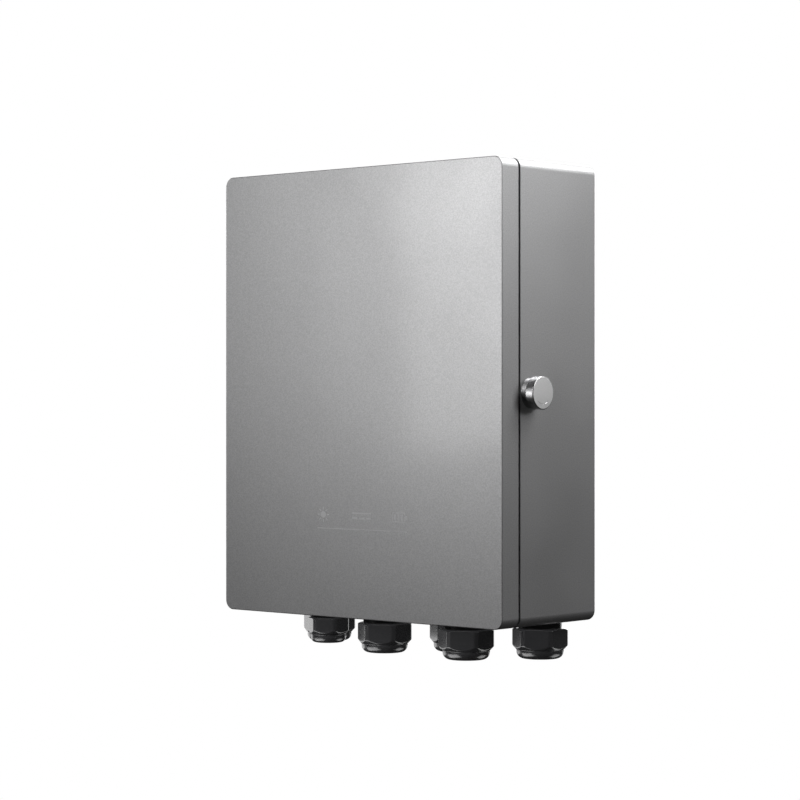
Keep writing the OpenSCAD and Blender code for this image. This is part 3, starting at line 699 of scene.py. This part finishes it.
def make_gland_inserts():
    bm = bmesh.new()
    for x, y, size in GLANDS:
        s = GLAND_SIZE[size]
        low, high, r, R = -s["end"] + 3.3, -s["top"] - 12.3, s["cable"], s["cable"] + 3.5
        profile = [(r + 0.6, low), (R - 0.4, low), (R, low + 0.4), (R, high), (r, high)]
        rib = (high - low - 2) / 5
        for i in range(5):
            z = high - 1 - i * rib
            profile += [(r, z), (r + 0.5, z - rib * 0.3), (r + 0.5, z - rib * 0.6), (r, z - rib * 0.9)]
        lathe(bm, profile, (x, y, -HALF_H), (0, 0, 1), 72, closed=True)
    mesh_piece("gland_rubbers", bm, ["gland_inserts"])


def hex_nut(bm, centre, low, high, flats, bore, chamfer):
    """A hexagon nut standing along Z, chamfered at both ends."""
    corner = flats / math.sqrt(3) * 0.985
    rings = [round_ring(centre, low + 0.3, bore), round_ring(centre, low, bore + 0.3)]
    steps = [share * chamfer for share in (0, 0.15, 0.4, 0.7, 1, 1.4)]
    tiers = [(low + d, d) for d in steps]
    tiers += [(high - d, d) for d in reversed(steps)]
    for z, d in tiers:
        limit = flats / 2 - 0.15 + d / chamfer * (corner - flats / 2 + 0.15)
        rings.append(hex_ring(centre, z, flats, [limit, corner], 0.25))
    rings += [round_ring(centre, high, bore + 0.3), round_ring(centre, high - 0.3, bore)]
    loft(bm, rings, closed=True)


def make_nuts():
    bm = bmesh.new()
    for x, y, size in GLANDS:
        s = GLAND_SIZE[size]
        hex_nut(bm, (x, y), -HALF_H + 2, -HALF_H + 9, s["flats"], s["thread"] + 0.05, 1.3)
    mesh_piece("gland_locknuts_moulded", bm, ["gland_locknuts"], sharp=38)
    bm = bmesh.new()
    one = bmesh.new()
    hex_nut(one, (0, 0), 0, 5, 10, 3.05, 0.7)
    rows = [(x, z) for x in (-140, 140) for z in (-175, 185)]
    repeat(bm, one, [((x, PLATE_FRONT, z), (0, -1, 0)) for x, z in rows])
    mesh_piece("plate_nuts_cut", bm, ["plate_nuts"], sharp=38)
    bm = bmesh.new()
    one = bmesh.new()
    hex_nut(one, (0, 0), 0, 5, 24, 9.05, 0.9)
    bmesh.ops.rotate(one, matrix=Matrix.Rotation(math.radians(30), 3, "Z"), verts=one.verts)
    repeat(bm, one, [((HALF_W - BODY_T, LATCH_Y, 0), (-1, 0, 0))])
    mesh_piece("latch_locknut_cut", bm, ["latch_locknut"], sharp=38)


# ---- screws ----

def repeat(bm, one, places):
    """Copies a shape that stands along Z to each (point, direction), and frees it."""
    spare = bpy.data.meshes.new("spare")
    one.to_mesh(spare)
    one.free()
    for point, direction in places:
        part = bmesh.new()
        part.from_mesh(spare)
        turn = Vector((0, 0, 1)).rotation_difference(Vector(direction)).to_matrix().to_4x4()
        take(bm, part, Matrix.Translation(point) @ turn)
    bpy.data.meshes.remove(spare)


def pan_screw(head_r, head_h, shank_r, shank_l, slotted=False):
    """A screw along Z, its head's underside at the origin, with a cross recess or a slot."""
    profile = [(shank_r * 0.5, -shank_l)] + thread(shank_r, 0.12 * shank_r, -shank_l * 0.94, 0, 0.8)
    profile += [(head_r - 0.1, 0), (head_r, 0.15 * head_h), (head_r * 0.98, 0.45 * head_h)]
    profile += [(head_r * 0.88, 0.75 * head_h), (head_r * 0.68, 0.93 * head_h), (head_r * 0.4, head_h)]
    bm = bmesh.new()
    lathe(bm, profile, (0, 0, 0), (0, 0, 1), 40)
    tool = bmesh.new()
    reach, wide = head_r * 0.6, head_r * 0.11
    top, deep = head_h + 1, head_h * 0.4
    if slotted:
        block(tool, (-head_r - 1, -wide, deep), (head_r + 1, wide, top), 0)
    else:
        outline = []
        for k in range(4):
            a = math.radians(90 * k)
            for x, y in ((wide, -wide), (reach, -wide), (reach, wide)):
                outline.append((x * math.cos(a) - y * math.sin(a), x * math.sin(a) + y * math.cos(a)))
        rings = [[(x * s, y * s, z) for x, y in outline] for s, z in ((0.7, deep), (1.15, top))]
        loft(tool, rings)
    return cut(bm, tool)


def make_screws():
    bar_x = [32 + i * (110 - 24) / 7 for i in range(8)]
    earth_x = [-88 + i * (100 - 24) / 7 for i in range(8)]
    front, left = (0, -1, 0), (-1, 0, 0)
    hinge_x = -HALF_W - 2
    body_row = [((hinge_x, HINGE_Y + HINGE_SCREW_REACH, z), left) for z in SCREW_ROWS]
    door_row = [((hinge_x, HINGE_Y - HINGE_SCREW_REACH, z), left) for z in SCREW_ROWS]
    inner = -DEPTH + DOOR_T
    sets = [
        ("bar_screws", (4.2, 3, 2.5, 9), [((x, BAR_FRONT, RAIL_Z[0]), front) for x in bar_x]
         + [((x, BAR_FRONT, EARTH_Z), front) for x in earth_x]),
        ("rail_screws", (4.5, 3, 2.5, 6), [((x, PLATE_FRONT - 1, z), front)
                                           for x in (-138, 138) for z in RAIL_Z]),
        ("hinge_body_screws", (3.8, 1.6, 2, 5.4), body_row),
        ("hinge_door_screws", (3.8, 1.6, 2, 5.4), door_row),
        ("keeper_screws", (3.6, 2, 2, 2.5), [((146, inner + 2.5, z), (0, 1, 0)) for z in (15, 27)]),
        ("latch_cam_screw", (3.5, 2.4, 1.5, 8), [((160, LATCH_Y, 0), left)]),
    ]
    for node, sizes, places in sets:
        bm = bmesh.new()
        repeat(bm, pan_screw(*sizes), places)
        mesh_piece(node + "_cut", bm, [node])
    make_terminal_screws()


def make_terminal_screws():
    upper, lower = RAIL_Z
    # First module's edge, modules, depth, rail height, screw's distance from the rail
    rows = [(FUSE_X, 6, -61, upper, 34), (ISOLATOR_X, 4, -59, lower, 36),
            (SPD_X, 3, -57, lower, 38.5)]
    places = [((x + (i + 0.5) * MODULE, y + 2.2, z + s * rise), (0, -1, 0))
              for x, count, y, z, rise in rows for i in range(count) for s in (-1, 1)]
    bm = bmesh.new()
    repeat(bm, pan_screw(2.9, 2.2, 2.3, 1.6, slotted=True), places)
    mesh_piece("terminal_screws_cut", bm, ["terminal_screws"])


# ---- wires ----

def make_wires():
    y, comb_z, duct_z = WIRE_Y, 164, DUCT_Z
    pole, clamp = ISOLATOR_X + MODULE / 2, SPD_X + MODULE / 2
    minus, minus_clamp = ISOLATOR_X + 2.5 * MODULE, SPD_X + 2.5 * MODULE
    earth_clamp = SPD_X + 1.5 * MODULE
    routes = {
        "positive_wires": [
            [(-16, y, comb_z), (0, y, comb_z), (0, y, duct_z), (pole, y, duct_z), (pole, y, -11)],
            [(-129, y, comb_z), (-143, y, comb_z), (-143, y, duct_z), (clamp, y, duct_z), (clamp, y, -9)]],
        "negative_wires": [
            [(minus, y, 107), (minus, y, -11)],
            [(20, y, 115), (12, y, 115), (12, y, 62), (12, -38, 62), (12, -38, 41),
             (minus_clamp, -38, 41), (minus_clamp, -38, 10), (minus_clamp, y, 10), (minus_clamp, y, -9)]],
        "earth_wires": [
            [(earth_clamp, y, -81), (earth_clamp, y, -142)],
            [(0, y, EARTH_Z), (24, y, EARTH_Z), (24, PLATE_FRONT, EARTH_Z)]],
    }
    for node, runs in routes.items():
        bm = bmesh.new()
        for run in runs:
            tube(bm, rounded_path(run, 9), 2.4)
        mesh_piece(node + "_bent", bm, [node], sharp=60)


# ---- CAD nodes that only need softer edges ----

BEVELS = {
    "plate_studs": 0.4, "hinge_body_leaves": 0.35, "hinge_pins": 0.4,
    "hinge_door_leaves": 0.35, "latch_seal": 0.2, "gland_washers": 0.2, "din_rails": 0.25,
    "end_clamps": 0.5, "fuse_bases": 0.4, "busbar_positive": 0.4, "busbar_negative": 0.4,
    "earth_bar": 0.4, "bar_standoffs": 0.4, "isolator_base": 0.6, "spd_base": 0.5,
    "wiring_duct": 0.25, "duct_cover": 0.3, "door_stiffeners": 0.3, "keeper": 0.4,
    "document_pocket": 0.4, "latch_cam": 0.4, "isolator_handle": 0.5,
}
BEVELS.update({f"spd_cartridge_{i}": 0.5 for i in (1, 2, 3)})
BEVELS.update({f"fuse_carrier_{i}": 0.5 for i in range(1, 7)})
BEVELS.update({f"fuse_link_{i}": 0.3 for i in range(1, 7)})


def soften_cad_nodes():
    for name, width in BEVELS.items():
        weld = NODES[name].modifiers.new("weld", "WELD")
        weld.merge_threshold = 0.00001
        bevel = NODES[name].modifiers.new("edges", "BEVEL")
        bevel.width = width * MM
        bevel.segments = 2
        bevel.limit_method = "ANGLE"
        bevel.angle_limit = math.radians(40)
        bevel.use_clamp_overlap = True
        bevel.harden_normals = True


MATERIALS = {
    "case_paint": case_paint,
    "zinc_steel": lambda: surface("zinc_steel", (0.62, 0.63, 0.65), 0.36, 1.0, 260, 0.08, 0.08),
    "stainless": lambda: surface("stainless", (0.66, 0.66, 0.67), 0.24, 1.0, 700, 0.05, 0.05),
    "polished": lambda: surface("polished", (0.5, 0.5, 0.505), 0.2, 1.0, 700, 0.03, 0.03, 0.000004),
    "turned_face": lambda: surface("turned_face", (0.9, 0.9, 0.9), 0.46, 1.0, 900, 0.03, 0.04),
    "black_nylon": lambda: surface("black_nylon", (0.035, 0.035, 0.037), 0.22, 0, 900, 0.08, 0.02,
                                   gloss=1.0),
    "black_rubber": lambda: surface("black_rubber", (0.018, 0.018, 0.018), 0.6, 0, 700, 0.2, 0.06),
    "grey_case": lambda: surface("grey_case", (0.6, 0.61, 0.62), 0.42, 0, 1200, 0.03, 0.05),
    "dark_case": lambda: surface("dark_case", (0.07, 0.073, 0.08), 0.4, 0, 1200, 0.08, 0.05),
    "duct_pvc": lambda: surface("duct_pvc", (0.36, 0.37, 0.39), 0.45, 0, 500, 0.03, 0.05),
    "copper": lambda: surface("copper", (0.83, 0.42, 0.26), 0.28, 1.0, 180, 0.1, 0.08),
    "brass": lambda: surface("brass", (0.78, 0.58, 0.26), 0.26, 1.0, 180, 0.08, 0.07),
    "red_resin": lambda: surface("red_resin", (0.36, 0.03, 0.025), 0.35, 0, 900, 0.08, 0.05),
    "ceramic": lambda: surface("ceramic", (0.8, 0.78, 0.72), 0.3, 0, 500, 0.03, 0.04),
    "red_wire": lambda: surface("red_wire", (0.5, 0.02, 0.015), 0.38, 0, 800, 0.05, 0.04),
    "black_wire": lambda: surface("black_wire", (0.02, 0.02, 0.02), 0.38, 0, 800, 0.1, 0.04),
    "earth_wire": lambda: surface("earth_wire", (0.2, 0.42, 0.06), 0.38, 0, 800, 0.05, 0.04),
    "clear_grey": lambda: surface("clear_grey", (0.22, 0.23, 0.25), 0.4, 0, 900, 0.05, 0.05),
}
_made = {}


def finish_of(slot):
    if slot not in _made:
        _made[slot] = MATERIALS[slot]()
    return _made[slot]


def mark_ink():
    return surface("mark_ink", (0.85, 0.85, 0.86), 0.5, 0, 900, 0.03, 0.04)


def paint_cad_nodes():
    for name, obj in NODES.items():
        mat = finish_of(SLOT_OF[name])
        if not obj.material_slots:
            obj.data.materials.append(mat)
        for s in obj.material_slots:
            s.material = mat


bpy.context.scene.view_settings.view_transform = "Standard"
make_camera()
make_world()
make_floor()
make_lights()
paint_cad_nodes()
soften_cad_nodes()
make_door_skin()
make_body_skin()
make_gasket()
make_mark()
make_knob()
make_neck()
make_gland_nuts()
make_gland_bodies()
make_gland_inserts()
make_nuts()
make_screws()
make_wires()
make_detail_lights()
make_inside_light()
make_floor_light()
